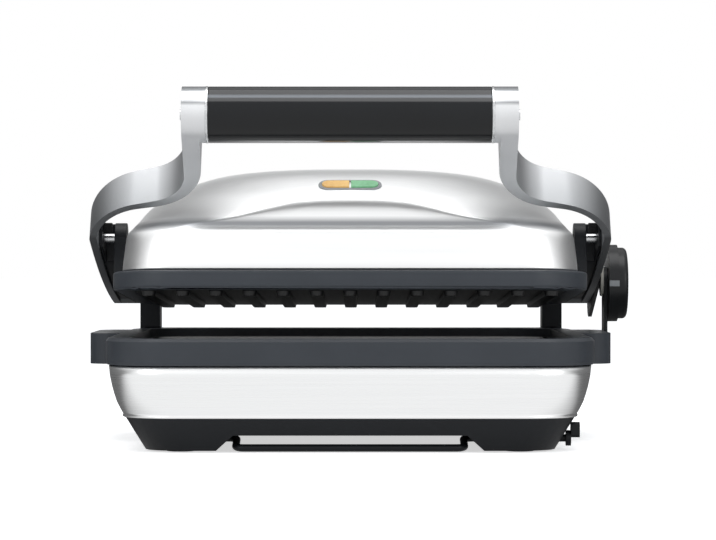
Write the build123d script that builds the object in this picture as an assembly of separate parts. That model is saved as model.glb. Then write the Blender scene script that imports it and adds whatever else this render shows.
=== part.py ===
from build123d import *
from math import atan2, cos, degrees, hypot, pi, radians, sin
import os

os.makedirs("parts", exist_ok=True)

# Clearances
slip = 0.05          # a pin in its bore, on the radius
gap = 0.3            # between pieces that move past each other
seat = 0.2           # between fixed pieces with curved faces

# Base, seen from above: a rounded rectangle that draws in towards the feet
rim_width = 311.0
rim_depth = 300.0
rim_corner = 38.0
rim_top = 72.5
rim_height = 17.0
rim_wall = 3.0
rim_ring = 14.0
ledge = 4.0
ear_root = 20.0
band_wall = 1.2
band_inset = 1.5
pan_top = 22.0
pan_inset = 12.0
pan_wall = 3.0
pan_floor = 2.5
foot_inset = 24.5
foot_height = 11.0
foot_edge = 86.0
foot_slant = 12.0
foot_back = 79.5          # from the rim's front edge to the back of a front foot
arch_height = 6.0
pad_radius = 9.0
pad_height = 2.5
pad_proud = 1.0
pad_in = 47.5             # from the rim's side to the middle of a pad
pad_back = 43.0           # from the rim's front edge to the middle of a pad
pocket_half = 14.0
boss_in = 37.5            # from the rim's side to a screw boss
boss_back = 80.0          # from the rim's front edge to a screw boss
boss_radius = 5.0
screw_radius = 1.6

# Cooking plates
plate_thickness = 7.5
plate_lip = 2.5
plate_play = 0.5
groove_width = 4.0
groove_depth = 2.0
rib_count = 13
rib_height = 3.0
rib_width = 8.0
rib_margin = 12.0
element_radius = 3.5
element_half_x = 82.0
element_half_y = 68.0
element_end_x = 24.0
element_end_y = 96.0
element_bend = 20.0
reflector_wall = 1.0
reflector_depth = 12.0
thermostat_radius = 8.0
fuse_radius = 2.2
fuse_half = 9.0
lead_radius = 1.3
terminal_half_x = 20.0
terminal_half_y = 9.0
terminal_height = 12.0
terminal_pitch = 12.0
terminal_back = 46.0      # from the rim's rear edge to the middle of the terminal block

# Hinge line of the arms
hinge_y = rim_depth / 2 - 2.0
hinge_z = 102.0
hinge_pin = 5.0
hinge_head = 7.5
hinge_head_width = 2.4
hinge_end_width = 1.6
hub_radius = 12.0
tower_width = 14.0
tower_spread = 14.6       # from the tower's outer face to the arm's inner face
washer_width = 0.8
washer_radius = 9.0
housing_depth = 14.0      # behind the rim
housing_lap = 38.0        # in front of the rim's rear edge
housing_low = 30.0
housing_corner = 6.0
gland_x = -90.0
gland_z = 48.0
gland_radius = 7.0
gland_bore = 3.8
gland_out = 9.0

# Arms
arm_outer = rim_width / 2 + 14.3
arm_wall = 4.7
arm_slope = 38.0
handle_y = 8.0 - rim_depth / 2
handle_z = 213.0
handle_radius = 17.75
cap_length = 14.9
post_wall = 11.0
taper_start = 18.0        # along the front stretch, from the handle
upper_bend_at = 104.0
upper_bend_up = 4.5
lower_bend_at = 102.0
upper_bulge = 6.0
lower_bulge = 5.5
bend_outer = (26.0, 42.0)
bend_inner = (38.0, 36.0)
bend_rise = 17.0
shoulder_low = 76.0
ribbon_half = 110.0
ribbon_end = 330.0
liner_wall = 2.0
liner_depth = 8.3
liner_edge = 2.5          # from the arm's edge to the cover's edge

# Ears at the sides of the rim
ear_reach = arm_outer + 5.2
ear_height = 20.5
ear_corner = 14.0
ear_fore = 82.0           # in front of the dial's axis
ear_aft = 23.0            # behind the dial's axis

# Handle
grip_half = 88.8
collar_width = 1.6
facet_angle = 41.0
facet_depth = 0.5
core_radius = 8.0
end_bevel = 1.5
handle_screw_head = 3.4
handle_screw_length = 13.0

# Lid, built flat about its pivot and tilted in its rest pose
pivot_y = -25.0
pivot_z = 136.0
pivot_pin = 3.0
lid_tilt = 3.0
lid_width = rim_width - 9.0
lid_depth = rim_depth - 17.0
lid_shift = 20.0
lid_bottom = -38.6
lid_rim_height = 12.0
shell_inset = 5.5
shell_wall = 1.2
shell_draft = 3.0
crease_z = 1.9
dome_levels = (          # distance in from the crease, height above it, radius of the corners
    (0.0, 0.0, 38.0), (3.2, 8.5, 94.0), (7.5, 15.5, 113.0), (17.0, 22.8, 112.0), (29.0, 30.0, 103.0),
    (41.0, 35.8, 88.0), (54.0, 38.9, 76.0), (70.0, 40.8, 60.0), (96.0, 42.4, 36.0),
)
bracket_width = 8.0
bracket_gap = 9.1         # from the bracket's outer face to the arm's inner face
bracket_radius = 10.0
bracket_foot = 16.0
plate_side_in = 15.0      # from the lid's side to the upper plate's side
plate_front_in = 19.5     # from the lid's front to the upper plate's front
upper_plate_depth = 9.0
stop_half = 4.2
stop_ahead = 9.0          # in front of the pivot
stop_above = 7.5
stop_reach = 7.7
liner_ahead = 22.0
liner_step_behind = 16.0

# Indicator in the lid's front
lens_length = 36.0
lens_height = 9.0
lens_border = 2.2

# Height control on the right
dial_reach = 76.0
dial_z = 105.3
dial_shaft = 4.0
cam_high = 17.0
cam_low = 7.2
cam_turn = 210.0
cam_thickness = 1.9
lever_thickness = 2.4
lever_edge = 3.0          # from the lever's upper edge to the line through its pins
lever_depth = 25.0
lever_pin = 2.5
lever_eye = 8.0
stud_radius = 1.8
stud_reach = 45.0
post_thickness = 2.4
post_width = 22.0
post_screw_z = 60.0
post_screw_head = 3.6
knob_radius = 26.6
knob_skirt = 6.8
knob_depth = 13.3
knob_socket = 7.0
pointer_depth = 2.2
pointer_half = 2.0

# Tilting stand at the front
stand_back = 55.0         # from the rim's front edge to the stand's shaft
stand_z = 7.5
stand_reach = 27.0
stand_bar = 2.4
stand_half = 75.0
stand_bend = 5.0
hub_length = 2.6
hub_wall = 0.6
lever_in = 17.1           # from the rim's side to the lever's inner face
lever_radius = 5.0
tab_width = 5.6
tab_low = 0.5
tab_high = 10.2

# Places worked out from the sizes above
rim_bottom = rim_top - rim_height
ring_inner = rim_ring
plate_under = rim_bottom + ledge
plate_top = plate_under + plate_thickness
lid_rim_top = lid_bottom + lid_rim_height
arm_inner = arm_outer - arm_wall
tower_outer = arm_inner - tower_spread
tower_inner = tower_outer - tower_width
housing_back = rim_depth / 2 + housing_depth
housing_front = rim_depth / 2 - housing_lap
post_outer = grip_half + collar_width + cap_length
post_inner = post_outer - post_wall
core_end = post_outer - 4.0
pan_inside = foot_height + pan_floor
pad_x = rim_width / 2 - pad_in
pad_y = rim_depth / 2 - pad_back
boss_x = rim_width / 2 - boss_in
boss_y = rim_depth / 2 - boss_back
dial_y = hinge_y - dial_reach
lever_inner = arm_outer + gap
lever_outer = lever_inner + lever_thickness
cam_inner = lever_outer + gap
cam_outer = cam_inner + cam_thickness
post_plate_inner = ear_reach
post_plate_outer = ear_reach + post_thickness
knob_inner = post_plate_outer + gap
bracket_outer = arm_inner - bracket_gap
bracket_inner = bracket_outer - bracket_width
upper_half_width = lid_width / 2 - plate_side_in
upper_half_depth = lid_depth / 2 - plate_front_in
stop_y = pivot_y - stop_ahead
stop_z = pivot_z + stop_above
stop_inner = arm_inner - stop_reach
liner_front = pivot_y - liner_ahead
liner_step = pivot_y + liner_step_behind
stand_y = stand_back - rim_depth / 2
hub_start = rim_width / 2 - lever_in
hub_end = hub_start + hub_length


def outline(inset, z):
    """The base seen from above at height z, drawn in from its rim."""
    shape = RectangleRounded(rim_width - 2 * inset, rim_depth - 2 * inset, rim_corner - inset / 2)
    return Pos(0, 0, z) * shape


def block(low_inset, low_z, high_inset, high_z):
    """A solid between two outlines of the base."""
    return loft([outline(low_inset, low_z), outline(high_inset, high_z)], ruled=True)


def box(x0, x1, y0, y1, z0, z1):
    """A box from its six faces."""
    centre = Pos((x0 + x1) / 2, (y0 + y1) / 2, (z0 + z1) / 2)
    return centre * Box(abs(x1 - x0), abs(y1 - y0), abs(z1 - z0))


def rod_x(x0, x1, y, z, radius):
    """A round rod along X."""
    return Pos((x0 + x1) / 2, y, z) * Rot(0, 90, 0) * Cylinder(radius, abs(x1 - x0))


def rod_y(x, y0, y1, z, radius):
    """A round rod along Y."""
    return Pos(x, (y0 + y1) / 2, z) * Rot(90, 0, 0) * Cylinder(radius, abs(y1 - y0))


def rod_z(x, y, z0, z1, radius):
    """An upright round rod."""
    return Pos(x, y, (z0 + z1) / 2) * Cylinder(radius, abs(z1 - z0))


def side_profile(face, x0, x1):
    """A solid from a face drawn in Y and Z, between two places along X."""
    low = min(x0, x1)
    plane = Plane(origin=(low, 0, 0), x_dir=(0, 1, 0), z_dir=(1, 0, 0))
    return extrude(plane * face, amount=abs(x1 - x0))


def tube(points, radius, bend):
    """A round tube along a bent line."""
    path = FilletPolyline(*points, radius=bend)
    section = Plane(origin=path @ 0, z_dir=path % 0) * Circle(radius)
    return sweep(section, path=path)


def screw(x, y, z0, z1, head_radius, head_height):
    """An upright screw whose head is at its lower end."""
    return rod_z(x, y, z0, z0 + head_height, head_radius) + rod_z(x, y, z0, z1, screw_radius)


def four(x, y):
    """The four places that mirror one another about the middle of the base."""
    return [(sx * x, sy * y) for sx in (-1, 1) for sy in (-1, 1)]


def save(shape, name):
    """Write one named piece."""
    shape.label = name
    export_step(shape, f"parts/{name}.step")


def mirrored(shape):
    """The same piece on the left side."""
    return mirror(shape, about=Plane.YZ)


# Base pan: four hollow feet, a floor, a tunnel from front to back and an arch at each side
def make_pan():
    pan = block(foot_inset, pad_proud, pan_inset, pan_top)
    share = (pan_inside - pad_proud) / (pan_top - pad_proud)
    wall_foot = foot_inset + share * (pan_inset - foot_inset) + pan_wall
    pan -= block(wall_foot, pan_inside, pan_inset + pan_wall, pan_top)
    tunnel = Polygon(
        (-foot_edge, 0), (foot_edge, 0),
        (foot_edge - foot_slant, foot_height), (-foot_edge + foot_slant, foot_height),
        align=None,
    )
    pan -= extrude(Plane.XZ * tunnel, amount=rim_depth, both=True)
    foot_start = rim_depth / 2 - foot_back
    pan -= box(-rim_width, rim_width, -foot_start, foot_start, 0, arch_height)
    for x, y in four(pad_x, pad_y):
        pan -= rod_z(x, y, 0, pad_height, pad_radius + seat)
        pocket = RectangleRounded(2 * pocket_half, 2 * pocket_half, 12)
        pan -= extrude(Pos(x, y, pad_height + pan_floor) * pocket, amount=foot_height)
    for x, y in four(boss_x, boss_y):
        pan -= rod_z(x, y, 0, pan_top, screw_radius + seat)
        pan -= rod_z(x, y, 0, arch_height + 2.4, screw_radius * 2 + seat)
    pan -= rod_x(-stand_half - 12, rim_width / 2, stand_y, stand_z, stand_bar + gap)
    return pan


save(make_pan(), "base_pan")

# Rubber pads let into the feet
pads = [rod_z(x, y, 0, pad_height, pad_radius) for x, y in four(pad_x, pad_y)]
save(Compound(pads), "foot_pads")

# Screws that pull the pan up against the bosses of the rim
pan_screws = [
    screw(x, y, arch_height + 0.4, pan_inside + 18, 2 * screw_radius, 2.0) for x, y in four(boss_x, boss_y)
]
save(Compound(pan_screws), "pan_screws")


# Steel band: bulges outwards from the pan to the rim
def band_solid(inset):
    levels = [(pan_inset, pan_top), (6.6, 32.0), (3.7, 42.0), (band_inset, rim_bottom)]
    return loft([outline(i + inset, z) for i, z in levels])


save(band_solid(0) - band_solid(band_wall), "base_band")


# Rim: a ring with a hollow underside, a ledge for the plate, four bosses and an ear at each side
def make_rim():
    ring_edge = rim_width / 2 - ring_inner
    rim = block(0.8, rim_bottom, 0, rim_bottom + 2) + block(0, rim_bottom + 2, 0, rim_top - 2)
    rim += block(0, rim_top - 2, 1.6, rim_top)
    channel = block(rim_wall, rim_bottom, rim_wall, rim_top - rim_wall)
    channel -= block(ring_inner - rim_wall, rim_bottom, ring_inner - rim_wall, rim_top - rim_wall)
    for side in (-1, 1):
        ear = box(side * (rim_width / 2 - ear_root), side * ear_reach, dial_y - ear_fore, dial_y + ear_aft,
                  rim_top - ear_height, rim_top)
        corners = ear.edges().filter_by(Axis.Z).sort_by(Axis.X)
        ear = fillet(corners[:2] if side < 0 else corners[2:], ear_corner)
        ear -= block(band_inset - seat, rim_top - ear_height - 1, band_inset - seat, rim_bottom)
        rim += ear
    rim -= channel
    rim -= block(ring_inner, rim_bottom, ring_inner, rim_top)
    rim += block(ring_inner - rim_wall, rim_bottom, ring_inner - rim_wall, plate_under) - block(
        ring_inner + ledge, rim_bottom, ring_inner + ledge, plate_under)
    for x, y in four(boss_x, boss_y):
        post = rod_z(x, y, pan_inside, plate_under - gap, boss_radius)
        post += box(x, (ring_edge - 3) * x / abs(x), y - 2, y + 2, rim_bottom, plate_under - gap)
        rim += post - rod_z(x, y, pan_inside, pan_inside + 20, screw_radius + seat)
    return rim


save(make_rim(), "base_rim")


# Lower cooking plate: flat, with a groove round its edge
def make_lower_plate():
    plate = block(ring_inner + plate_play, plate_under, ring_inner + plate_play, plate_top)
    edge = ring_inner + plate_play + plate_lip
    groove = block(edge, plate_top - groove_depth, edge, plate_top)
    groove -= block(edge + groove_width, plate_top - groove_depth, edge + groove_width, plate_top)
    return plate - groove


save(make_lower_plate(), "lower_plate")


# Heating elements: one bent tube each, with both ends at the back
def element_points(half_x, half_y, end_x, end_y, z):
    return [
        (-end_x, end_y, z), (-end_x, half_y, z), (-half_x, half_y, z), (-half_x, -half_y, z),
        (half_x, -half_y, z), (half_x, half_y, z), (end_x, half_y, z), (end_x, end_y, z),
    ]


lower_element_z = plate_under - gap - element_radius
lower_points = element_points(element_half_x, element_half_y, element_end_x, element_end_y, lower_element_z)
save(tube(lower_points, element_radius, element_bend), "lower_element")

# Reflector tray under the lower element
tray_inset = rim_width / 2 - boss_x + boss_radius + 2
tray_low = plate_under - reflector_depth
lower_tray = block(tray_inset, tray_low, tray_inset, plate_under)
tray_inside = tray_inset + reflector_wall
lower_tray -= block(tray_inside, tray_low + reflector_wall, tray_inside, plate_under)
save(lower_tray, "lower_reflector")

# Thermostat and thermal fuse against the plate's underside
thermostat = rod_z(0, 0, plate_under - 6, plate_under, thermostat_radius)
thermostat += rod_z(0, 0, plate_under - 9, plate_under, thermostat_radius - 3)
save(thermostat, "lower_thermostat")
fuse = rod_x(-fuse_half, fuse_half, 28, plate_under - gap - fuse_radius, fuse_radius)
save(fuse, "thermal_fuse")

# Terminal block on the pan's floor
block_y = rim_depth / 2 - terminal_back
terminal_top = pan_inside + terminal_height
socket_low = pan_inside + terminal_height / 2
terminal = box(-terminal_half_x, terminal_half_x, block_y - terminal_half_y, block_y + terminal_half_y,
               pan_inside, terminal_top)
for x in (-terminal_pitch, 0, terminal_pitch):
    terminal -= rod_z(x, block_y, socket_low, terminal_top, lead_radius + gap)
save(terminal, "terminal_block")

# Leads from the block to the ends of the lower element
lead_top = lower_element_z - element_radius - lead_radius - gap
leads = []
for side in (-1, 1):
    points = [
        (side * terminal_pitch, block_y, socket_low + gap), (side * terminal_pitch, block_y, lead_top - 12),
        (side * element_end_x, block_y + 4, lead_top - 4),
        (side * element_end_x, block_y + 4, lower_element_z),
    ]
    leads.append(tube(points, lead_radius, 3.0))
save(Compound(leads), "base_leads")


# Rear housing: hugs the back of the rim and carries the two hinge towers
def make_housing():
    face = RectangleRounded(housing_back - housing_front, rim_top - housing_low, housing_corner)
    face = Pos((housing_back + housing_front) / 2, (rim_top + housing_low) / 2) * face
    body = side_profile(face, -tower_outer, tower_outer)
    tower = SlotCenterToCenter(hinge_z - rim_top + 12, 2 * hub_radius, rotation=90)
    tower = Pos(hinge_y, (hinge_z + rim_top - 12) / 2) * tower
    for side in (-1, 1):
        body += side_profile(tower, side * tower_inner, side * tower_outer)
    body -= block(-seat, housing_low - 10, -seat, rim_top + 1)
    body -= rod_x(-tower_outer, tower_outer, hinge_y, hinge_z, hinge_pin + slip)
    body -= rod_y(gland_x, housing_front - 1, housing_back, gland_z, gland_radius + seat)
    return body


save(make_housing(), "rear_housing")

# Gland for the mains cord
gland = rod_y(gland_x, rim_depth / 2 + 1, housing_back + gland_out, gland_z, gland_radius)
gland += rod_y(gland_x, housing_back, housing_back + 2, gland_z, gland_radius + 3)
gland -= rod_y(gland_x, rim_depth / 2, housing_back + gland_out + 1, gland_z, gland_bore)
save(gland, "cord_gland")

# Screws that hold the rear housing
housing_screws = []
housing_hole = [(-60, 58), (0, 58), (60, 58)]
for x, z in housing_hole:
    housing_screws.append(rod_y(x, housing_back, housing_back + 1.6, z, 3.2))
save(Compound(housing_screws), "housing_screws")


# Hinge pins, with a head at the inner end, and their washers
def hinge_pin_solid(outer):
    head = rod_x(tower_inner - hinge_head_width, tower_inner, hinge_y, hinge_z, hinge_head)
    return head + rod_x(tower_inner - 1, outer, hinge_y, hinge_z, hinge_pin)


right_pin = hinge_pin_solid(lever_outer + gap)
right_pin += rod_x(lever_outer + gap, lever_outer + hinge_end_width, hinge_y, hinge_z, hinge_head)
left_pin = hinge_pin_solid(arm_outer + gap)
left_pin += rod_x(arm_outer + gap, arm_outer + hinge_end_width, hinge_y, hinge_z, hinge_head)
save(right_pin, "hinge_pin_right")
save(mirrored(left_pin), "hinge_pin_left")
washer = rod_x(tower_outer, tower_outer + washer_width, hinge_y, hinge_z, washer_radius)
washer -= rod_x(tower_outer - 1, tower_outer + 2, hinge_y, hinge_z, hinge_pin + slip)
save(Compound([washer, mirrored(washer)]), "hinge_washers")

# Arms: seen from the side a bent bar, cut from a ribbon that curves inwards to the handle
along_y = cos(radians(arm_slope))
along_z = -sin(radians(arm_slope))
up_y = -along_z
up_z = along_y


def arm_point(along, across):
    """A place in Y and Z, along the arm's front stretch from the handle and across it."""
    return (handle_y + along * along_y + across * up_y, handle_z + along * along_z + across * up_z)


def bowed(start, end, bow):
    """An arc between two places in Y and Z that bows to the left of its direction."""
    run = hypot(end[0] - start[0], end[1] - start[1])
    middle = (
        (start[0] + end[0]) / 2 - bow * (end[1] - start[1]) / run,
        (start[1] + end[1]) / 2 + bow * (end[0] - start[0]) / run,
    )
    return ThreePointArc(start, middle, end)


def arm_side(inset):
    """The bent bar seen from the side, drawn in by inset."""
    r = handle_radius - inset
    hub = hub_radius - inset
    upper = arm_point(upper_bend_at, upper_bend_up - inset)
    lower = arm_point(lower_bend_at, -r)
    front_upper = arm_point(0, r)
    taper_upper = arm_point(taper_start, r)
    front_lower = arm_point(0, -r)
    away = arm_point(-r, 0)
    up_slope = atan2(upper[1] - hinge_z - hub, hinge_y - upper[0])
    low_slope = atan2(lower[1] - hinge_z + hub, hinge_y - lower[0])
    hub_top = (hinge_y + hub * sin(up_slope), hinge_z + hub * cos(up_slope))
    hub_low = (hinge_y - hub * sin(low_slope), hinge_z - hub * cos(low_slope))
    edge = Line(front_upper, taper_upper) + Line(taper_upper, upper) + bowed(upper, hub_top, upper_bulge)
    edge += ThreePointArc(hub_top, (hinge_y + hub, hinge_z), hub_low)
    edge += bowed(hub_low, lower, lower_bulge) + Line(lower, front_lower)
    edge += ThreePointArc(front_lower, away, front_upper)
    return make_face(edge)


def ribbon():
    """The ribbon that the arm is cut from: outer and inner lines in X and along the slope."""
    start = -handle_radius - 1
    end = ribbon_end
    outer = FilletPolyline(
        (post_outer, start), (post_outer, shoulder_low - bend_rise), (arm_outer, shoulder_low),
        (arm_outer, end),
        radius=list(bend_outer),
    )
    inner = FilletPolyline(
        (post_inner, start), (post_inner, shoulder_low - bend_rise + 5), (arm_inner, shoulder_low + 2),
        (arm_inner, end), radius=list(bend_inner),
    )
    edge = outer + inner
    edge += Line((post_outer, start), (post_inner, start)) + Line((arm_outer, end), (arm_inner, end))
    plane = Plane(origin=(0, handle_y, handle_z), x_dir=(1, 0, 0), z_dir=(0, up_y, up_z))
    return extrude(plane * make_face(edge), amount=ribbon_half, both=True)


def handle_section(radius, depth):
    """A round section with a flat facet that faces forwards and up."""
    shape = Circle(radius)
    away = 2 * radius - depth
    turn = 180 - facet_angle
    cut = Rot(0, 0, turn) * Pos(away, 0) * Rectangle(2 * radius, 3 * radius)
    return shape - cut


def handle_solid(x0, x1, radius, depth, narrowing=0.0):
    """A length of the handle's section along X, narrower at its far end where a bevel is asked for."""
    faces = []
    for x, drop in ((x0, 0.0), (x1, narrowing)):
        plane = Plane(origin=(x, handle_y, handle_z), x_dir=(0, 1, 0), z_dir=(1, 0, 0))
        faces.append(plane * handle_section(radius - drop, depth))
    return loft(faces, ruled=True)


def make_arm():
    arm = ribbon() & side_profile(arm_side(0), post_inner - 5, arm_outer + 5)
    arm += handle_solid(grip_half + collar_width, post_outer - end_bevel, handle_radius, facet_depth)
    arm += handle_solid(post_outer - end_bevel, post_outer, handle_radius, facet_depth, end_bevel)
    arm += rod_x(tower_outer + washer_width + gap, arm_outer, hinge_y, hinge_z, hub_radius)
    arm -= rod_x(tower_outer, arm_outer + 1, hinge_y, hinge_z, hinge_pin + slip)
    arm -= rod_x(arm_inner - 1, arm_outer - 1.2, pivot_y, pivot_z, pivot_pin + slip)
    arm -= rod_x(grip_half, core_end, handle_y, handle_z, core_radius + slip)
    arm -= rod_x(grip_half, post_outer + 1, handle_y, handle_z, screw_radius + seat)
    return arm


plain_arm = make_arm()
stud_slope = atan2(dial_z + cam_high + lever_pin + gap - hinge_z, hinge_y - dial_y)
stud_off = lever_edge + stud_radius + gap
stud_y = hinge_y - stud_reach * cos(stud_slope) + stud_off * sin(stud_slope)
stud_z = hinge_z + stud_reach * sin(stud_slope) + stud_off * cos(stud_slope)
right_arm = plain_arm + rod_x(arm_outer - 1, lever_outer - 0.1, stud_y, stud_z, stud_radius)
save(right_arm, "arm_right")
save(mirrored(plain_arm), "arm_left")


# Inner covers of the arms: thin in front, deep behind, where the lid's lead runs
def ahead_of(y):
    """Everything in front of a place along Y, over the arm's thickness and height."""
    return box(tower_inner, ear_reach, -rim_depth, y, 0, 2 * handle_z)


def make_liner():
    side = arm_side(liner_edge)
    inner = arm_inner - liner_depth - 1
    shallow = side_profile(side, arm_inner - liner_wall, arm_inner)
    deep = side_profile(side, arm_inner - liner_depth, arm_inner)
    liner = shallow - ahead_of(liner_front)
    liner += deep - ahead_of(liner_step)
    hollow = side_profile(arm_side(liner_edge + liner_wall), arm_inner - liner_depth + liner_wall, arm_inner)
    liner -= hollow - ahead_of(liner_step + liner_wall)
    liner -= rod_x(inner, ear_reach, hinge_y, hinge_z, hub_radius + seat)
    liner -= rod_x(inner, ear_reach, pivot_y, pivot_z, pivot_pin + seat)
    liner -= box(inner, ear_reach, stop_y - stop_half, stop_y + stop_half, stop_z - stop_half, handle_z)
    return liner


# Stop blocks that end the lid's tilt, and the pins that it turns on
liner = make_liner()
save(liner, "arm_liner_right")
save(mirrored(liner), "arm_liner_left")
stop_upper = stop_z + stop_half - 1.6
stop = box(stop_inner, arm_inner, stop_y - stop_half + seat, stop_y + stop_half - seat,
           stop_z - stop_half + seat, stop_upper)
save(stop, "stop_block_right")
save(mirrored(stop), "stop_block_left")
pin = rod_x(bracket_inner + 1, arm_outer - 1.2 - slip, pivot_y, pivot_z, pivot_pin)
save(pin, "pivot_pin_right")
save(mirrored(pin), "pivot_pin_left")

# Lead that feeds the lid, in the hollow of the left cover
lead_x = -(arm_inner - liner_depth / 2 + 0.8)
upper_bend = arm_point(upper_bend_at, upper_bend_up)
lower_bend = arm_point(lower_bend_at, -handle_radius)
bend_y = (upper_bend[0] + lower_bend[0]) / 2
bend_z = (upper_bend[1] + lower_bend[1]) / 2
lead_line = []
for share, rise in ((0.10, 0.0), (0.30, 0.6), (0.50, 0.6), (0.66, 0.0)):
    along = hinge_y + share * (bend_y - hinge_y)
    lead_line.append((lead_x, along, hinge_z + share * (bend_z - hinge_z) + rise))
save(tube(lead_line, 2.0, 30.0), "lid_lead")

# Handle: steel core, moulded grip, a bright collar at each end and the screws that hold the core
core = rod_x(-core_end + 1, core_end - 1, handle_y, handle_z, core_radius)
for side in (-1, 1):
    hole = core_end - handle_screw_length - 2
    core -= rod_x(side * hole, side * core_end, handle_y, handle_z, screw_radius + slip)
save(core, "handle_core")
grip = handle_solid(-grip_half, grip_half, handle_radius, facet_depth)
grip -= rod_x(-grip_half, grip_half, handle_y, handle_z, core_radius + slip)
save(grip, "handle_grip")
collar = handle_solid(grip_half, grip_half + collar_width, handle_radius + 0.2, facet_depth)
collar -= rod_x(grip_half, grip_half + collar_width, handle_y, handle_z, core_radius + slip)
save(Compound([collar, mirrored(collar)]), "handle_collars")
handle_screw = rod_x(core_end - handle_screw_length, post_outer + 0.4, handle_y, handle_z, screw_radius)
handle_screw += rod_x(post_outer, post_outer + 1.4, handle_y, handle_z, handle_screw_head)
save(Compound([handle_screw, mirrored(handle_screw)]), "handle_screws")


# Lid, in its own frame: origin on the pivot line, flat
def lid_place(shape):
    return Pos(0, pivot_y, pivot_z) * Rot(-lid_tilt, 0, 0) * shape


def lid_outline(inset, z, corner_share=0.5):
    shape = RectangleRounded(lid_width - 2 * inset, lid_depth - 2 * inset, rim_corner - inset * corner_share)
    return Pos(0, lid_shift, z) * shape


def lid_block(inset_low, z_low, inset_high, z_high):
    return loft([lid_outline(inset_low, z_low), lid_outline(inset_high, z_high)], ruled=True)


def dome_face(level, wall):
    """The dome seen from above at one of its levels, drawn in by a wall."""
    step, rise, corner = level
    inset = shell_inset + shell_draft + step + wall
    shape = RectangleRounded(lid_width - 2 * inset, lid_depth - 2 * inset, corner - wall)
    return Pos(0, lid_shift, crease_z + rise - (wall if step else 0)) * shape


def shell_solid(wall):
    """The lid's outer form, drawn in by a wall."""
    foot = lid_outline(shell_inset + wall, lid_rim_top)
    lower = loft([foot, dome_face(dome_levels[0], wall)], ruled=True)
    upper = loft([dome_face(level, wall) for level in dome_levels], ruled=True)
    return lower + upper


def lens_plane():
    """A plane on the dome's front slope at the indicator, facing outwards."""
    step_low, rise_low, _ = dome_levels[3]
    step_high, rise_high, _ = dome_levels[4]
    share = 0.55
    step = step_low + share * (step_high - step_low)
    rise = rise_low + share * (rise_high - rise_low)
    face_y = lid_shift - lid_depth / 2 + shell_inset + shell_draft + step
    normal = (0, -(rise_high - rise_low), step_high - step_low)
    return Plane(origin=(0, face_y, crease_z + rise), x_dir=(1, 0, 0), z_dir=normal)


lens_at = lens_plane()
lens_hole = SlotOverall(lens_length + 2 * lens_border, lens_height + 2 * lens_border)
shell = shell_solid(0) - shell_solid(shell_wall)
shell -= extrude(lens_at * SlotOverall(lens_length + 2 * lens_border + 2 * seat,
                                       lens_height + 2 * lens_border + 2 * seat), amount=8, both=True)
save(lid_place(shell), "lid_shell")


# Black rim of the lid, hollow above, with a ledge that holds the upper plate
def make_lid_rim():
    ring = lid_block(1.2, lid_bottom, 0, lid_bottom + 1.5) + lid_block(0, lid_bottom + 1.5, 0, lid_rim_top)
    opening_x = upper_half_width + 1
    opening_y = upper_half_depth + 1
    opening = RectangleRounded(2 * opening_x, 2 * opening_y, 24)
    ring -= extrude(Pos(0, lid_shift, lid_bottom) * opening, amount=lid_rim_height)
    recess = lid_block(shell_inset + 4, lid_bottom + 4, shell_inset + 4, lid_rim_top)
    ring -= recess
    return ring


save(lid_place(make_lid_rim()), "lid_rim")


# Upper cooking plate: a slab whose flange lies on the rim's ledge, and ribs that run front to back
def make_upper_plate():
    slab = RectangleRounded(2 * upper_half_width, 2 * upper_half_depth, 23)
    plate = extrude(Pos(0, lid_shift, lid_bottom) * slab, amount=upper_plate_depth)
    flange_inset = shell_inset + 5
    plate += lid_block(flange_inset, lid_bottom + 4, flange_inset, lid_bottom + 7)
    pitch = 2 * (upper_half_width - rib_width) / (rib_count - 1)
    for number in range(rib_count):
        x = -upper_half_width + rib_width + number * pitch
        rib = RectangleRounded(rib_width, 2 * (upper_half_depth - rib_margin), rib_width / 2 - 0.2)
        plate += extrude(Pos(x, lid_shift, lid_bottom - rib_height) * rib, amount=rib_height + 1, taper=-12)
    return plate


save(lid_place(make_upper_plate()), "upper_plate")
upper_plate_top = lid_bottom + upper_plate_depth
upper_element_z = upper_plate_top + gap + element_radius
upper_points = element_points(element_half_x, element_half_y, element_end_x, element_end_y, upper_element_z)
upper_points = [(x, y + lid_shift, z) for x, y, z in upper_points]
save(lid_place(tube(upper_points, element_radius, element_bend)), "upper_element")

# Reflector over the upper element and the blanket on it
cover_inset = 28.0
cover_top = upper_plate_top + reflector_depth
cover = lid_block(cover_inset, upper_plate_top, cover_inset, cover_top)
cover_inside = cover_inset + reflector_wall
cover -= lid_block(cover_inside, upper_plate_top, cover_inside, cover_top - reflector_wall)
save(lid_place(cover), "upper_reflector")
blanket = lid_block(cover_inset + 4, cover_top, cover_inset + 4, cover_top + 6)
save(lid_place(blanket), "heat_blanket")
upper_stat = rod_z(0, lid_shift, upper_plate_top, upper_plate_top + 8, thermostat_radius)
save(lid_place(upper_stat), "upper_thermostat")

# Indicator: a frame set in the dome, two lenses, and the board with a lamp behind each
frame_solid = extrude(lens_at * lens_hole, amount=-4) + extrude(lens_at * lens_hole, amount=0.8)
frame_solid -= extrude(lens_at * SlotOverall(lens_length, lens_height), amount=5, both=True)
save(lid_place(frame_solid), "lens_frame")


def half_lens(side):
    slot = SlotOverall(lens_length - 2 * seat, lens_height - 2 * seat)
    half = slot & Pos(side * lens_length / 2, 0) * Rectangle(lens_length - 1.2, lens_height * 2)
    return extrude(lens_at * half, amount=1.4) + extrude(lens_at * half, amount=-3)


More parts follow.
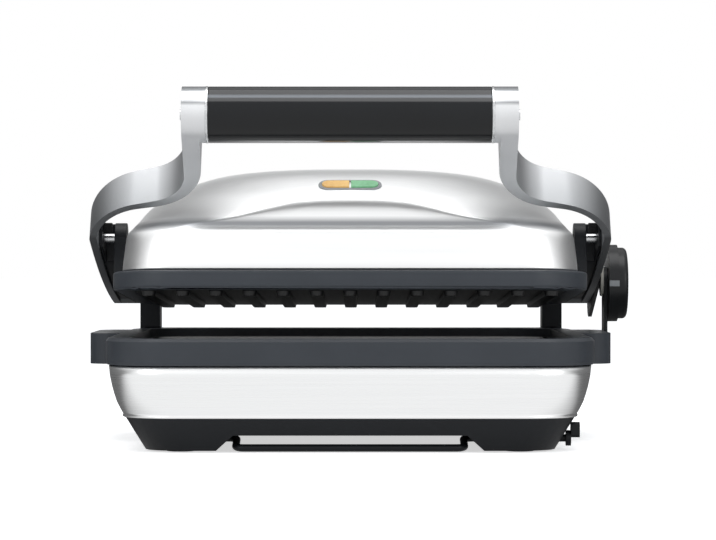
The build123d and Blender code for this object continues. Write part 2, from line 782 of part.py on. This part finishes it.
save(lid_place(half_lens(-1)), "amber_lens")
save(lid_place(half_lens(1)), "green_lens")
board_drop = 4.0 + 4.4
board_plane = lens_at.offset(-board_drop)
board = extrude(board_plane * Rectangle(lens_length, lens_height + 3), amount=-1.6)
for x in (-14, 14):
    post = extrude(board_plane * Pos(x, (lens_height + 2 * lens_border) / 2 - 1.1) * Circle(0.9), amount=4.4)
    board += post
save(lid_place(board), "lamp_board")
lamps = [extrude(board_plane * Pos(side * 9, 0) * Circle(2.4), amount=4.0) for side in (-1, 1)]
save(lid_place(Compound(lamps)), "indicator_lamps")


# Brackets that carry the lid on its pivot pins
def make_bracket():
    foot = lid_rim_top
    face = Polygon(
        (-bracket_foot, foot), (bracket_foot, foot), (bracket_radius, 0), (-bracket_radius, 0), align=None)
    face += Circle(bracket_radius)
    plate = side_profile(face, bracket_inner, bracket_outer)
    plate -= rod_x(bracket_inner - 1, bracket_outer + 1, 0, 0, pivot_pin + slip)
    return plate


bracket = make_bracket()
save(lid_place(bracket), "lid_bracket_right")
save(lid_place(mirrored(bracket)), "lid_bracket_left")

# Post that carries the height dial, screwed to the right ear
post_low = rim_top - ear_height + post_width / 2 - 1
post_face = SlotCenterToCenter(dial_z - post_low, post_width, rotation=90)
post_face = Pos(dial_y, (dial_z + post_low) / 2) * post_face
dial_post = side_profile(post_face, post_plate_inner, post_plate_outer)
dial_post -= rod_x(post_plate_inner, post_plate_outer, dial_y, dial_z, dial_shaft + slip)
save(dial_post, "dial_post")
post_screw = rod_x(post_plate_outer, post_plate_outer + 2.0, dial_y, post_screw_z, post_screw_head)
save(post_screw, "post_screw")


# Height lever: a deep steel plate from the hinge pin to a roller pin that rests on the cam
lever_tip_y = dial_y
lever_tip_z = dial_z + cam_high + lever_pin + gap


def make_lever():
    length = hypot(hinge_y - lever_tip_y, lever_tip_z - hinge_z)
    turn = degrees(atan2(lever_tip_z - hinge_z, lever_tip_y - hinge_y))
    hang = lever_depth / 2 - lever_edge
    middle_y = (hinge_y + lever_tip_y) / 2 - hang * sin(stud_slope)
    middle_z = (hinge_z + lever_tip_z) / 2 - hang * cos(stud_slope)
    plate = Pos(middle_y, middle_z) * SlotCenterToCenter(length, lever_depth, rotation=turn)
    plate += Pos(hinge_y, hinge_z) * Circle(lever_eye)
    lever = side_profile(plate, lever_inner, lever_outer)
    lever += rod_x(lever_inner, cam_outer - 0.1, lever_tip_y, lever_tip_z, lever_pin)
    return lever - rod_x(lever_inner - 1, lever_outer + 1, hinge_y, hinge_z, hinge_pin + slip)


save(make_lever(), "height_lever")


# Spiral cam on the dial's shaft: highest at the top, falling steadily as the dial turns
def cam_face():
    steps = 30
    points = []
    for step in range(steps + 1):
        share = step / steps
        angle = radians(90 + share * cam_turn)
        radius = cam_high - share * (cam_high - cam_low)
        points.append((radius * cos(angle), radius * sin(angle)))
    last = points[-1]
    lead_angle = radians(90 - 16)
    lead = (cam_high * cos(lead_angle), cam_high * sin(lead_angle))
    lead_in = ThreePointArc(lead, (cam_high * cos(radians(82)), cam_high * sin(radians(82))), points[0])
    inner = (0, -cam_low * 0.7)
    return make_face(Spline(*points) + lead_in + Line(last, inner) + Line(inner, lead))


cam = side_profile(Pos(dial_y, dial_z) * cam_face(), cam_inner, cam_outer)
cam += rod_x(cam_inner, cam_outer, dial_y, dial_z, cam_low)
shaft_end = knob_inner + knob_socket
cam += rod_x(cam_inner, shaft_end, dial_y, dial_z, dial_shaft)
save(cam, "height_cam")


# Height knob: a wide skirt and a narrower crown, with a pointer let into the skirt's front
def make_knob():
    skirt = rod_x(knob_inner, knob_inner + knob_skirt, dial_y, dial_z, knob_radius)
    crown = rod_x(knob_inner, knob_inner + knob_depth, dial_y, dial_z, knob_radius - 2)
    crown = fillet(crown.edges().filter_by(GeomType.CIRCLE).sort_by(Axis.X)[-1], 3.0)
    knob = skirt + crown
    knob -= rod_x(knob_inner - 1, shaft_end + gap, dial_y, dial_z, dial_shaft + slip)
    return knob - pointer_box(seat / 2)


def pointer_box(margin):
    front = dial_y - knob_radius
    return box(knob_inner - 1, knob_inner + knob_skirt + 1, front - 1, front + pointer_depth + margin,
               dial_z - pointer_half - margin, dial_z + pointer_half + margin)


save(make_knob(), "height_knob")
pointer = pointer_box(0) & rod_x(knob_inner, knob_inner + knob_skirt, dial_y, dial_z, knob_radius + 0.2)
save(pointer, "dial_pointer")


# Tilting stand: a bail between the front feet, on a shaft that runs out to its lever
def make_stand():
    bar_y = stand_y - stand_reach
    bar_z = stand_bar + 0.3
    reach = stand_half - stand_bar
    points = [
        (-stand_half - 10, stand_y, stand_z), (-reach, stand_y, stand_z), (-reach, bar_y, bar_z),
        (reach, bar_y, bar_z), (reach, stand_y, stand_z), (hub_end, stand_y, stand_z),
    ]
    return tube(points, stand_bar, stand_bend)


save(make_stand(), "tilt_stand")

# Lever on the end of the stand's shaft, with a thumb tab
tab_start = hub_end + hub_wall
lever_body = rod_x(hub_start, tab_start, stand_y, stand_z, lever_radius)
tab = box(tab_start, tab_start + tab_width, stand_y - lever_radius, stand_y + lever_radius,
          stand_z + tab_low, stand_z + tab_high)
tab = fillet(tab.edges().filter_by(Axis.X), 2.0)
lever_body += tab
lever_body -= rod_x(hub_start - 1, hub_end + slip, stand_y, stand_z, stand_bar + slip)
save(lever_body, "tilt_lever")
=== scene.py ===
from math import cos, radians, sin

import bmesh
import bpy
from mathutils import Matrix, Vector


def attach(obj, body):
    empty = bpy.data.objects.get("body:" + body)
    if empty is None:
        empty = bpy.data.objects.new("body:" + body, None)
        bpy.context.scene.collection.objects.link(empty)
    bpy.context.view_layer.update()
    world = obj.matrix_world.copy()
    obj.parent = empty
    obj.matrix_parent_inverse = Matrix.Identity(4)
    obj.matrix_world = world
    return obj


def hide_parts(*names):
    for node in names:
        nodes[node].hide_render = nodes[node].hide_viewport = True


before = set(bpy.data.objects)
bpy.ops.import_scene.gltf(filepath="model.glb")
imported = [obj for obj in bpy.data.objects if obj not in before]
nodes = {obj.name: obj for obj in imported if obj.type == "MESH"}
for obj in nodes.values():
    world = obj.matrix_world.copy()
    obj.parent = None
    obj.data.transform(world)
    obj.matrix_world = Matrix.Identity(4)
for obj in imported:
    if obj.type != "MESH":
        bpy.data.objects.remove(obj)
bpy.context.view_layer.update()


# Camera: a long lens two metres in front, level with the lid and a little to the right of the
# middle. Its shift puts the horizon where the photograph has it.
camera_place = (0.005, -2.150, 0.1275)
lens_length = 160.9
film_width = 36.0
horizon_shift = -0.0265
camera_data = bpy.data.cameras.new("camera")
camera_data.lens = lens_length
camera_data.sensor_width = film_width
camera_data.shift_y = horizon_shift
camera_data.clip_end = 50.0
camera = bpy.data.objects.new("camera", camera_data)
camera.location = camera_place
camera.rotation_euler = (radians(90), 0, 0)
bpy.context.scene.collection.objects.link(camera)
bpy.context.scene.camera = camera


# Studio: three soft lamps over one pale paper floor, in a pale room. What polished pieces mirror
# of the room is white in front, overhead and right behind, and dark at the sides and far back.
class Value:
    """An output of a finish's nodes, which takes part in Python sums as Math nodes."""

    def __init__(self, finish, socket):
        self.finish = finish
        self.socket = socket

    def maths(self, operation, first, second=0.0):
        return self.finish.node("ShaderNodeMath", {"operation": operation}, {0: first, 1: second})

    def __add__(self, other):
        return self.maths("ADD", self, other)

    __radd__ = __add__

    def __mul__(self, other):
        return self.maths("MULTIPLY", self, other)

    __rmul__ = __mul__

    def __sub__(self, other):
        return self.maths("SUBTRACT", self, other)

    def __rsub__(self, other):
        return self.maths("SUBTRACT", other, self)

    def __pow__(self, other):
        return self.maths("POWER", self, other)

    def __abs__(self):
        return self.maths("ABSOLUTE", self)

    def __gt__(self, other):
        return self.maths("GREATER_THAN", self, other)

    def __lt__(self, other):
        return self.maths("LESS_THAN", self, other)


class Finish:
    """A material whose surface is one Principled shader. node() adds every other node."""

    def __init__(self, name, **fixed):
        self.material = bpy.data.materials.new(name)
        self.material.use_nodes = True
        self.tree = self.material.node_tree
        self.shader = self.tree.nodes["Principled BSDF"]
        for socket, value in fixed.items():
            self.feed(socket.replace("_", " "), value)

    def node(self, kind, settings=None, inputs=None, output=0):
        """Makes a node, sets it, fills or links its sockets and gives one of its outputs."""
        made = self.tree.nodes.new(kind)
        for name, value in (settings or {}).items():
            if name == "stops":
                stops = made.color_ramp.elements
                for spot, (position, colour) in enumerate(value):
                    stop = stops[spot] if spot < 2 else stops.new(position)
                    stop.position = position
                    stop.color = colour
            else:
                setattr(made, name, value)
        for key, value in (inputs or {}).items():
            if isinstance(value, Value):
                self.tree.links.new(value.socket, made.inputs[key])
            else:
                made.inputs[key].default_value = value
        return Value(self, made.outputs[output])

    def feed(self, socket, value):
        """Sets one of the shader's own sockets, or links it."""
        if isinstance(value, Value):
            self.tree.links.new(value.socket, self.shader.inputs[socket])
        else:
            self.shader.inputs[socket].default_value = value

    def surface(self, output, shader):
        """Makes a shader the whole surface of a material, or of the world."""
        self.tree.links.new(shader.socket, self.tree.nodes[output].inputs[0])

    def place(self, stretch=(1, 1, 1)):
        """Object coordinates in metres, stretched along each axis."""
        where = self.node("ShaderNodeTexCoord", output="Object")
        return self.node("ShaderNodeMapping", {}, {"Vector": where, "Scale": stretch})

    def axis(self, which, source=None):
        """One coordinate of a point on the object in metres, or of another vector."""
        where = source or self.node("ShaderNodeTexCoord", output="Object")
        return self.node("ShaderNodeSeparateXYZ", {}, {0: where}, output=which)

    def ramp(self, value, stops):
        """A level between 0 and 1, straight between stops of a value and its level."""
        low, high = stops[0][0], stops[-1][0]
        share = (value - low) * (1 / (high - low))
        greys = [((at - low) / (high - low), grey(level)) for at, level in stops]
        return self.node("ShaderNodeValToRGB", {"stops": greys}, {0: share})

    def noise(self, scale, detail=2.0, rough=0.5, stretch=(1, 1, 1)):
        """Cloudy noise with so many spots to the metre."""
        where = self.place(stretch)
        return self.node("ShaderNodeTexNoise", {},
                         {"Vector": where, "Scale": scale, "Detail": detail, "Roughness": rough})

    def colour(self, share, first, second):
        """A colour between two, by the share of the second."""
        return self.node("ShaderNodeMix", {"data_type": "RGBA"}, {0: share, 6: first, 7: second}, output=2)

    def overlay(self, share, colour):
        """Lays a colour over the base colour, by its share."""
        below = Value(self, self.shader.inputs["Base Color"].links[0].from_socket)
        self.feed("Base Color", self.colour(share, below, colour))

    def bump(self, height, depth):
        """Feeds a height into the surface's normal, with its depth in metres."""
        self.feed("Normal", self.node("ShaderNodeBump", {}, {"Height": height, "Distance": depth}))


def grey(level):
    return (level, level, level, 1)


def shade(hexed):
    """A colour written as a screen shows it, as a linear one."""
    parts = [int(hexed[spot:spot + 2], 16) / 255 for spot in (0, 2, 4)]
    return tuple(p / 12.92 if p <= 0.04045 else ((p + 0.055) / 1.055) ** 2.4 for p in parts) + (1,)


class Room(Finish):
    """The studio's surround, whose nodes are the world's."""

    def __init__(self, tree):
        self.tree = tree


bpy.context.scene.view_settings.view_transform = "Standard"
world = bpy.data.worlds.new("studio")
bpy.context.scene.world = world
world.use_nodes = True
room = Room(world.node_tree)
surround = room.tree.nodes["Background"]
surround.inputs["Color"].default_value = (0.95, 0.97, 1.0, 1)
surround.inputs["Strength"].default_value = 0.55
heading = room.node("ShaderNodeTexCoord", output="Generated")
behind = room.axis(1, heading)
high = room.axis(2, heading)
# Both ramps go by a direction's own lengths: -1 is straight in front, and 1 behind or overhead.
front_to_back = room.ramp(behind, ((-0.44, 1.0), (0.08, 0.19), (0.94, 0.14), (0.968, 1.0)))
overhead = room.ramp(high + (1 - abs(behind)) * 0.25, ((0.0, 0.0), (0.3, 0.04), (0.56, 0.24), (0.84, 1.0)))
level = room.node("ShaderNodeMath", {"operation": "MAXIMUM"}, {0: front_to_back, 1: overhead})
mirrored = room.node("ShaderNodeBackground", {}, {"Color": room.colour(level, grey(0), grey(1))})
white = room.node("ShaderNodeBackground", {}, {"Color": grey(1)})
ray_camera = room.node("ShaderNodeLightPath", output="Is Camera Ray")
ray_glossy = room.node("ShaderNodeLightPath", output="Is Glossy Ray")
ray_clear = room.node("ShaderNodeLightPath", output="Is Transmission Ray")
polished = room.node("ShaderNodeMath", {"operation": "ADD", "use_clamp": True}, {0: ray_glossy, 1: ray_clear})
unseen = room.node("ShaderNodeMixShader", {}, {0: polished, 1: Value(room, surround.outputs[0]), 2: mirrored})
room.surface("World Output", room.node("ShaderNodeMixShader", {}, {0: ray_camera, 1: unseen, 2: white}))


def lamp(name, place, width, height, power):
    """A soft rectangular lamp that faces the middle of the grill. Its power is in watts."""
    grill_middle = Vector((0, 0, 0.1))
    data = bpy.data.lights.new(name, "AREA")
    data.shape = "RECTANGLE"
    data.size = width
    data.size_y = height
    data.energy = power
    made = bpy.data.objects.new(name, data)
    made.location = place
    made.rotation_euler = (grill_middle - Vector(place)).to_track_quat("-Z", "Y").to_euler()
    bpy.context.scene.collection.objects.link(made)


lamp("lamp_above", (0.0, -0.2, 1.5), width=1.4, height=1.0, power=14)
lamp("lamp_front_left", (-1.1, -1.5, 0.9), width=0.9, height=0.9, power=7)
lamp("lamp_front_right", (1.1, -1.5, 0.7), width=0.9, height=0.9, power=6)

floor_half = 12.0
floor_mesh = bpy.data.meshes.new("floor")
bm = bmesh.new()
bmesh.ops.create_grid(bm, x_segments=1, y_segments=1, size=floor_half)
bm.to_mesh(floor_mesh)
bm.free()
floor = bpy.data.objects.new("floor", floor_mesh)
bpy.context.scene.collection.objects.link(floor)
paper = Finish("paper", Base_Color=shade("f4f5f6"), Roughness=0.9, Specular_IOR_Level=0.1)
paper_lit = Value(paper, paper.shader.outputs[0])
paper_glow = paper.node("ShaderNodeEmission", {}, {"Color": grey(1), "Strength": 0.6})
paper_white = paper.node("ShaderNodeAddShader", {}, {0: paper_lit, 1: paper_glow})
# Painted shade: what polished pieces mirror of the floor is dark under and behind the grill, and white in
# front of it.
painted_floor_shade = paper.ramp(paper.axis(1), ((-0.15, 1.0), (-0.075, 0.14)))
paper_mirrored = paper.node("ShaderNodeEmission", {}, {"Color": paper.colour(painted_floor_shade, grey(0), grey(1))})
from_camera = paper.node("ShaderNodeLightPath", output="Is Camera Ray")
from_gloss = paper.node("ShaderNodeLightPath", output="Is Glossy Ray")
paper_plain = paper.node("ShaderNodeMixShader", {}, {0: from_camera, 1: paper_lit, 2: paper_white})
paper.surface("Material Output",
              paper.node("ShaderNodeMixShader", {}, {0: from_gloss, 1: paper_plain, 2: paper_mirrored}))
floor_mesh.materials.append(paper.material)


# Base pan: one moulding in black heat-proof plastic, with four hollow feet and an open tunnel
# between them. Its skin is finely spark-eroded, and its edges are a little rounded.
def moulded(name, dark, light, roughness, shine=0.3, grain=0.00003):
    """Moulded plastic with a fine eroded skin, whose depth is grain."""
    made = Finish(name, IOR=1.48, Specular_IOR_Level=shine)
    skin = made.noise(2600)
    cloud = made.noise(26, detail=3.0)
    made.feed("Base Color", made.colour(cloud * 0.5 + skin * 0.35, dark, light))
    made.feed("Roughness", roughness + (skin - 0.5) * 0.14 + (cloud - 0.5) * 0.08)
    made.bump(skin, grain)
    return made


def soften(name, width, finish, segments=2):
    """Rounds a CAD node's sharp edges, or only parts them at width 0, and gives it a finish."""
    sharp = radians(32)
    same_point = 0.000004
    node = nodes[name]
    weld = node.modifiers.new("weld", "WELD")
    weld.merge_threshold = same_point
    if width:
        bevel = node.modifiers.new("edges", "BEVEL")
        bevel.width = width
        bevel.segments = segments
        bevel.limit_method = "ANGLE"
        bevel.angle_limit = sharp
        flat_first = node.modifiers.new("normals", "WEIGHTED_NORMAL")
        flat_first.weight = 100
    else:
        split = node.modifiers.new("edges", "EDGE_SPLIT")
        split.split_angle = sharp
    node.data.materials.clear()
    node.data.materials.append(finish.material)
    for face in node.data.polygons:
        face.material_index = 0
        face.use_smooth = True


pan_plastic = moulded("pan_plastic", shade("0d0f12"), shade("1a1d21"), 0.42, shine=0.22)
soften("base_pan", 0.0009, pan_plastic)

# Foot pads: discs of moulded rubber that keep the grill from sliding. Each is pressed into the
# recess of a foot, and is matt and faintly dusty.
rubber = Finish("rubber", IOR=1.5, Specular_IOR_Level=0.2)
rubber_skin = rubber.noise(900, detail=3.0)
rubber.feed("Base Color", rubber.colour(rubber_skin, shade("0e0f10"), shade("1f2021")))
rubber.feed("Roughness", rubber_skin * 0.2 + 0.68)
rubber.bump(rubber_skin, 0.00005)
soften("foot_pads", 0.0004, rubber)

# Screws and pins: bright steel, rolled or turned. The screws hold the pan, the housing, the
# knob's post and the handle. The pins carry the lid and the arms, and show fine tool marks.
bright_steel = Finish("bright_steel", Metallic=1.0)
tooling = bright_steel.noise(400, stretch=(8, 1, 1))
bright_steel.feed("Base Color", bright_steel.colour(tooling, shade("b9bbbd"), shade("dcdedf")))
bright_steel.feed("Roughness", tooling * 0.15 + 0.2)
for name in ("pan_screws", "housing_screws", "post_screw", "pivot_pin_right", "pivot_pin_left",
             "hinge_pin_right", "hinge_pin_left", "handle_screws"):
    soften(name, 0.0003, bright_steel)


# Steel band: stainless sheet, pressed into a bulging ring and brushed round its length. It is
# held between the rim and the pan, and its foot is rolled into a thin bright bead.
def brushed(name, dark, light, roughness, hair, broad):
    """Brushed stainless sheet. hair and broad stretch its fine lines and its soft streaks."""
    made = Finish(name, Metallic=1.0)
    normal = made.node("ShaderNodeNewGeometry", output="Normal")
    flank = abs(made.axis(0, normal)) > 0.75
    lines = []
    for stretch in (hair, broad):
        turned = (stretch[1], stretch[0], stretch[2])
        along_x = made.noise(1.0, detail=3.0, rough=0.6, stretch=stretch)
        along_y = made.noise(1.0, detail=3.0, rough=0.6, stretch=turned)
        lines.append(along_x + (along_y - along_x) * flank)
    brushing = lines[0] * 0.6 + lines[1] * 0.4
    made.feed("Base Color", made.colour(brushing, dark, light))
    made.feed("Roughness", roughness + (brushing - 0.5) * 0.12)
    made.bump(lines[0], 0.000006)
    return made


def rounded_loop(bm, half_x, half_y, radius, place):
    """The edges of a rounded rectangle, laid flat and moved by a matrix."""
    corner_steps = 10
    corners = bmesh.ops.create_grid(bm, x_segments=1, y_segments=1, size=1.0)["verts"]
    bmesh.ops.scale(bm, vec=(half_x, half_y, 1), verts=corners)
    bmesh.ops.bevel(bm, geom=corners, offset=radius, offset_type="OFFSET", segments=corner_steps,
                    profile=0.5, affect="VERTICES", material=-1, clamp_overlap=True)
    bm.faces.ensure_lookup_table()
    flat = bm.faces[0]
    edges = list(flat.edges)
    bmesh.ops.transform(bm, matrix=place, verts=list(flat.verts))
    bmesh.ops.delete(bm, geom=[flat], context="FACES_ONLY")
    return edges


def pressed(name, levels, place, closed_top):
    """A pressed sheet through a stack of rounded rectangles (half X, half Y, radius, height)."""
    sheet_wall = 0.0011
    bm = bmesh.new()
    loops = []
    for half_x, half_y, radius, height in levels:
        loops.append(rounded_loop(bm, half_x, half_y, radius, place @ Matrix.Translation((0, 0, height))))
    for low, top in zip(loops, loops[1:]):
        bmesh.ops.bridge_loops(bm, edges=low + top)
    if closed_top:
        bmesh.ops.edgeloop_fill(bm, edges=loops[-1])
    bmesh.ops.recalc_face_normals(bm, faces=bm.faces)
    bmesh.ops.solidify(bm, geom=bm.faces[:], thickness=sheet_wall)
    for face in bm.faces:
        face.smooth = True
    mesh = bpy.data.meshes.new(name)
    bm.to_mesh(mesh)
    bm.free()
    piece = bpy.data.objects.new(name, mesh)
    bpy.context.scene.collection.objects.link(piece)
    return piece


band_half_x = 155.5
band_half_y = 150
band_corner = 38
# Steps outwards and heights in mm, from the bead at the foot up to the rim
band_levels = ((-12.6, 22.2), (-11.4, 21.9), (-10.4, 22.4), (-10.2, 23.2), (-10.7, 24.0), (-10.2, 24.9),
               (-9.2, 26.6), (-6.6, 32.0), (-5.0, 37.0), (-3.7, 42.0), (-2.4, 48.5), (-1.7, 54.8))
band_stack = [((band_half_x + step) / 1000, (band_half_y + step) / 1000, (band_corner + step / 2) / 1000,
               height / 1000) for step, height in band_levels]
band = pressed("band_pressed", band_stack, Matrix.Identity(4), closed_top=False)
band_steel = brushed("brushed_steel", shade("e6e7e8"), shade("fafbfb"), 0.28,
                     hair=(14, 14, 5200), broad=(5, 5, 700))
band.data.materials.append(band_steel.material)
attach(band, "base")
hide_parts("base_band")

# Rims: thick hollow frames that hold the two plates, moulded in slate-coloured heat-proof
# plastic. The pan is screwed up to the lower one, which has an ear at each side.
slate = moulded("slate_plastic", shade("2c3035"), shade("3c4046"), 0.4)
soften("base_rim", 0.0016, slate, segments=3)
soften("lid_rim", 0.0018, slate, segments=3)

# Cooking plates: die-cast aluminium, the lower one flat with a groove round its edge, the upper
# one ribbed. Each lies on a ledge of its rim, and its dark non-stick coating is sprayed on.
coating = Finish("coating", Coat_Weight=0.2, Coat_Roughness=0.25, Specular_IOR_Level=0.3)
fleck = coating.noise(3200, detail=1.0)
coating.feed("Base Color", coating.colour(fleck ** 3, shade("0f1011"), shade("343536")))
coating.feed("Roughness", fleck * 0.2 + 0.36)
coating.bump(fleck, 0.00002)
soften("lower_plate", 0.0006, coating)
soften("upper_plate", 0.0006, coating)

# Heaters: a bent steel-sheathed tube against each plate, with a tray of sheet steel behind it,
# thermostats and a fuse. All are dulled and tinted by heat. The grip's core is the same steel.
sheet_steel = Finish("sheet_steel", Metallic=1.0)
heat_tint = sheet_steel.noise(40, detail=3.0)
sheet_steel.feed("Base Color", sheet_steel.colour(heat_tint, shade("8f8f92"), shade("c4c2bd")))
sheet_steel.feed("Roughness", heat_tint * 0.2 + 0.28)
for name in ("lower_element", "lower_reflector", "lower_thermostat", "thermal_fuse", "upper_element",
             "upper_reflector", "upper_thermostat", "handle_core"):
    soften(name, 0.0, sheet_steel)

# Height lever: a deep plate of punched steel, from the hinge pin to a roller that rests on the
# knob's cam. Its skin is phosphated black and oiled.
black_steel = Finish("black_steel", Metallic=0.6)
oil = black_steel.noise(300, detail=4.0)
black_steel.feed("Base Color", black_steel.colour(oil, shade("1c1d1f"), shade("3a3b3d")))
black_steel.feed("Roughness", oil * 0.25 + 0.35)
soften("height_lever", 0.0003, black_steel)

# Insulators: terminal block, lamp board, hinge washers and cam, all moulded in cream nylon.
# The blanket in the lid is felted mineral wool, and the leads have black rubber jackets.
nylon = moulded("nylon", shade("c9c5ba"), shade("e4e1d8"), 0.45, shine=0.4)
for name in ("terminal_block", "lamp_board", "hinge_washers", "height_cam"):
    soften(name, 0.0003, nylon)
wool = Finish("wool", Roughness=0.95)
fibre = wool.noise(1500, detail=4.0, stretch=(1, 3, 1))
wool.feed("Base Color", wool.colour(fibre, shade("b8b09c"), shade("ded8c8")))
wool.bump(fibre, 0.0003)
soften("heat_blanket", 0.0, wool)
soften("base_leads", 0.0, rubber)
soften("lid_lead", 0.0, rubber)

# Rear housing, gland, lid brackets, knob's post, arm covers and stand: mouldings in the pan's
# black plastic, screwed or clipped on. The stop blocks that end the lid's tilt are rubber.
for name in ("rear_housing", "cord_gland", "lid_bracket_right", "lid_bracket_left", "dial_post",
             "arm_liner_right", "arm_liner_left", "tilt_stand", "tilt_lever"):
    soften(name, 0.0005, pan_plastic)
for name in ("stop_block_right", "stop_block_left"):
    soften(name, 0.0005, rubber)

# Arms: cast aluminium, blasted and lacquered to an even satin silver, with shade painted in low down.
# They turn on the rear hinge. Reflections are painted on the bosses that hold the handle: a thin dark line,
# and darker tops.
silver = Finish("cast_silver", Metallic=1.0)
blast = silver.noise(1800, detail=3.0)
drift = silver.noise(18)
arm_height = silver.axis(2)
# Painted shade: the arms' colour goes darker low down and lighter high up.
upper = silver.ramp(arm_height, ((0.1483, 0.0), (0.2067, 1.0)))
# Painted reflections: a thin dark line across each boss, and darker tops above it.
painted_boss_reflections = silver.ramp(arm_height, ((0.218, 0.0), (0.22, 0.7), (0.2224, 0.0), (0.226, 0.0), (0.228, 0.8)))
silver.feed("Base Color", silver.colour(upper, shade("85888b"), shade("dedfe1")))
silver.overlay(blast * 0.3 + drift * 0.3, shade("b9bbbd"))
silver.overlay(painted_boss_reflections, shade("5f6265"))
silver.feed("Roughness", blast * 0.14 + 0.4)
silver.bump(blast, 0.00003)
soften("arm_right", 0.0009, silver, segments=3)
soften("arm_left", 0.0009, silver, segments=3)

# Handle: a grip of glossy black plastic, pushed on a steel core and flattened along its front.
# A highlight is painted along the flat's upper edge, shade is painted low down, and a bright steel collar
# closes each end.
grip_black = moulded("grip_black", shade("0a0c0f"), shade("171b20"), 0.2, shine=0.34, grain=0.00001)
grip_height = grip_black.axis(2)
# Painted shade darkens the grip towards its underside.
painted_underside_shade = grip_black.ramp(grip_height, ((0.195, 1.0), (0.2271, 0.0)))
# Painted highlight: a light line along the upper edge of the flat, on the front only.
painted_edge_highlight = grip_black.ramp(grip_height, ((0.2226, 0.0), (0.2234, 1.0), (0.2244, 1.0), (0.2254, 0.0)))
grip_front = grip_black.axis(1) < -0.148
grip_black.overlay(painted_underside_shade, shade("050607"))
grip_black.overlay(painted_edge_highlight * grip_front, shade("5e6369"))
soften("handle_grip", 0.0006, grip_black)
soften("handle_collars", 0.0003, bright_steel)

# Lid shell: one sheet of stainless steel, pressed into a steep skirt, a soft crease and a wide
# crowned dome, and brushed from side to side. Its foot stands in the lid's rim. Shade is painted in a grey
# band round the crease.
lid_half_x = 145.5
lid_half_y = 136.0
lid_tilt = radians(-3)
# Steps inwards, heights and corner radii in mm: the skirt, the crease, then the dome
lid_levels = ((0.0, -26.6, 32.5), (1.0, -17.0, 33.5), (1.9, -8.0, 35.0), (2.5, -3.4, 36.5), (3.3, -1.2, 38.0),
              (4.8, 0.4, 39.5), (5.9, 2.2, 44.0), (6.3, 4.6, 58.0), (6.8, 8.0, 82.0), (8.2, 13.0, 102.0),
              (11.0, 17.7, 112.0), (15.3, 21.8, 113.0), (20.8, 25.6, 111.0), (27.0, 29.2, 107.0),
              (34.0, 32.8, 101.0), (42.5, 36.4, 92.0), (52.0, 39.2, 82.0), (63.0, 41.4, 70.0),
              (78.0, 43.0, 56.0), (99.0, 44.1, 36.0), (120.0, 44.3, 12.0))
lid_stack = [((lid_half_x - step) / 1000, (lid_half_y - step) / 1000, radius / 1000, height / 1000)
             for step, height, radius in lid_levels]
lid_place = Matrix.Translation((0, -0.025, 0.136)) @ Matrix.Rotation(lid_tilt, 4, "X")
lid_place = lid_place @ Matrix.Translation((0, 0.020, 0))
shell = pressed("lid_pressed", lid_stack, lid_place, closed_top=True)
lid_steel = brushed("lid_steel", shade("e9eaeb"), shade("fbfcfc"), 0.36,
                    hair=(12, 4200, 4200), broad=(5, 600, 600))
lid_height = lid_steel.axis(2) * cos(lid_tilt) - lid_steel.axis(1) * sin(lid_tilt)
# Painted shade: a grey band runs round the lid at its crease.
crease = lid_steel.ramp(lid_height, ((0.1325, 0.0), (0.1369, 1.0), (0.1385, 1.0), (0.1425, 0.0)))
lid_steel.overlay(crease, shade("919396"))
shell.data.materials.append(lid_steel.material)
round_off = shell.modifiers.new("smooth", "SUBSURF")
round_off.levels = 1
round_off.render_levels = 1
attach(shell, "lid")
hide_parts("lid_shell")

# Indicator: two halves of tinted clear plastic, amber and green, snapped into one slim grey
# frame in the dome. Each has a small lamp behind it and glows faintly.
frame_grey = moulded("frame_grey", shade("8a8d8f"), shade("a6a9ab"), 0.4)
soften("lens_frame", 0.0005, frame_grey)
for name, dark, light in (("amber_lens", "c48a3a", "f2cc80"), ("green_lens", "4c8f5f", "8fcfa0")):
    tint = Finish(name, Roughness=0.18, Emission_Strength=0.18)
    rib = tint.noise(500, detail=1.0)
    blotch = tint.noise(120, stretch=(1, 0.2, 0.2))
    tint.feed("Base Color", tint.colour(rib * 0.4 + blotch * 0.6, shade(dark), shade(light)))
    tint.feed("Emission Color", tint.colour(blotch, shade(dark), shade(light)))
    soften(name, 0.0005, tint)
soften("indicator_lamps", 0.0003, nylon)

# Height knob: a skirt and crown moulded in black plastic and pushed on the cam's shaft. A pale
# grey pointer is let into the skirt.
knob_plastic = moulded("knob_plastic", shade("0c0d0f"), shade("191b1e"), 0.33)
soften("height_knob", 0.0008, knob_plastic)
pointer_grey = moulded("pointer_grey", shade("6c6f72"), shade("94979a"), 0.4)
soften("dial_pointer", 0.0, pointer_grey)
